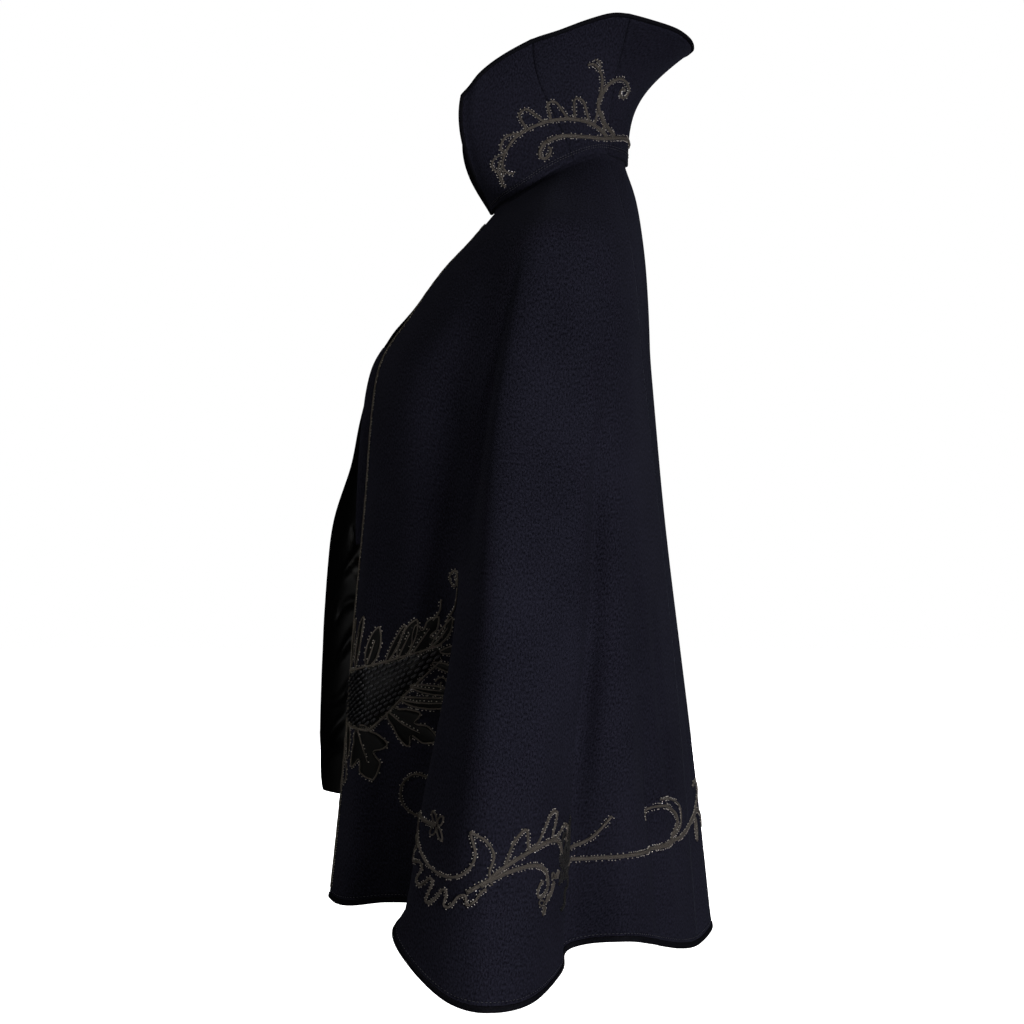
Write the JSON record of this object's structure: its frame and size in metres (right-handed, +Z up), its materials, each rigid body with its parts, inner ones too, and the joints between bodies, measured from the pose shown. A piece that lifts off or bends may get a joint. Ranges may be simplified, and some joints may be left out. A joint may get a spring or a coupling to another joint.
{
  "type": "evening cape",
  "caption": "Short flared evening cape of dark wool with a tall flaring stand collar, satin front lappets, leaf applique and couched cord scrolls.",
  "frame": {"origin": "centre of the neck opening at the level of the side of the neck, where the cape rests on the wearer", "axes": "+Z up along the wearer, -Y the open front, +X the wearer's left"},
  "size_m": [0.7064, 0.4422, 1.0171],
  "materials": {
    "wool": "fine milled wool with a soft nap, blue-black",
    "satin": "glossy black silk satin",
    "applique_satin": "dull dark grey satin",
    "plaited_cord": "plaited black cord rows",
    "binding": "black bound edge"
  },
  "bodies": {
    "root": {"back": "wool", "front_left": "wool", "front_right": "wool", "front_band_left": "wool", "front_band_right": "wool", "collar_back": "wool", "collar_side_left": "wool", "collar_side_right": "wool", "collar_front_left": "wool", "collar_front_right": "wool", "collar_binding": "binding", "hem_binding_back": "binding", "hem_binding_left": "binding", "hem_binding_right": "binding", "lappet_left": "satin", "lappet_right": "satin", "leaf_applique_left": "applique_satin", "leaf_applique_right": "applique_satin", "smocked_panel_left": "plaited_cord", "smocked_panel_right": "plaited_cord"}
  },
  "joints": []
}
